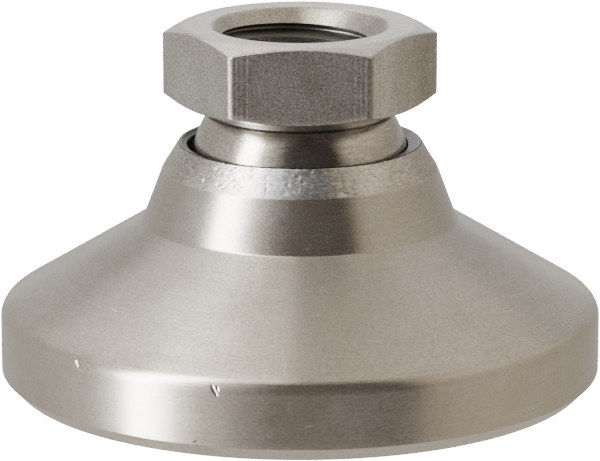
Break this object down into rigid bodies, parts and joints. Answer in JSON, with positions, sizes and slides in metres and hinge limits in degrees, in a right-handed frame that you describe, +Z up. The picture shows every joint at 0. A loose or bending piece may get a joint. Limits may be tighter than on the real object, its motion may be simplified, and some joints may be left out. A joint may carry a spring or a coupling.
{
  "type": "tapped swivel leveling foot",
  "caption": "Round conical metal foot with a rolled lip that holds the ball of a threaded hexagonal socket, which tilts and turns to level furniture or machines.",
  "frame": {"origin": "middle of the base's flat underside, on the floor", "axes": "+Z up along the base's axis and the threaded hole, -Y towards the front flat of the hexagon"},
  "size_m": [0.0476, 0.0476, 0.0287],
  "materials": {
    "turned_stainless": "fine turned stainless steel",
    "ball_stainless": "smooth turned stainless steel",
    "drawn_stainless": "cold drawn hexagonal stainless bar"
  },
  "bodies": {
    "base": {"base_pad": "turned_stainless"},
    "tilting_ball": {"ball_lower_end": "ball_stainless"},
    "socket": {"tapped_ball_socket": "drawn_stainless"}
  },
  "joints": [
    {"name": "socket_tilt", "type": "hinge", "parent": "base", "child": "tilting_ball", "pos_m": [0, 0, 0.0169], "axis": [1, 0, 0], "range_deg": [-15, 15]},
    {"name": "socket_spin", "type": "hinge", "parent": "tilting_ball", "child": "socket", "pos_m": [0, 0, 0.0169], "axis": [0, 0, 1], "continuous": true}
  ]
}
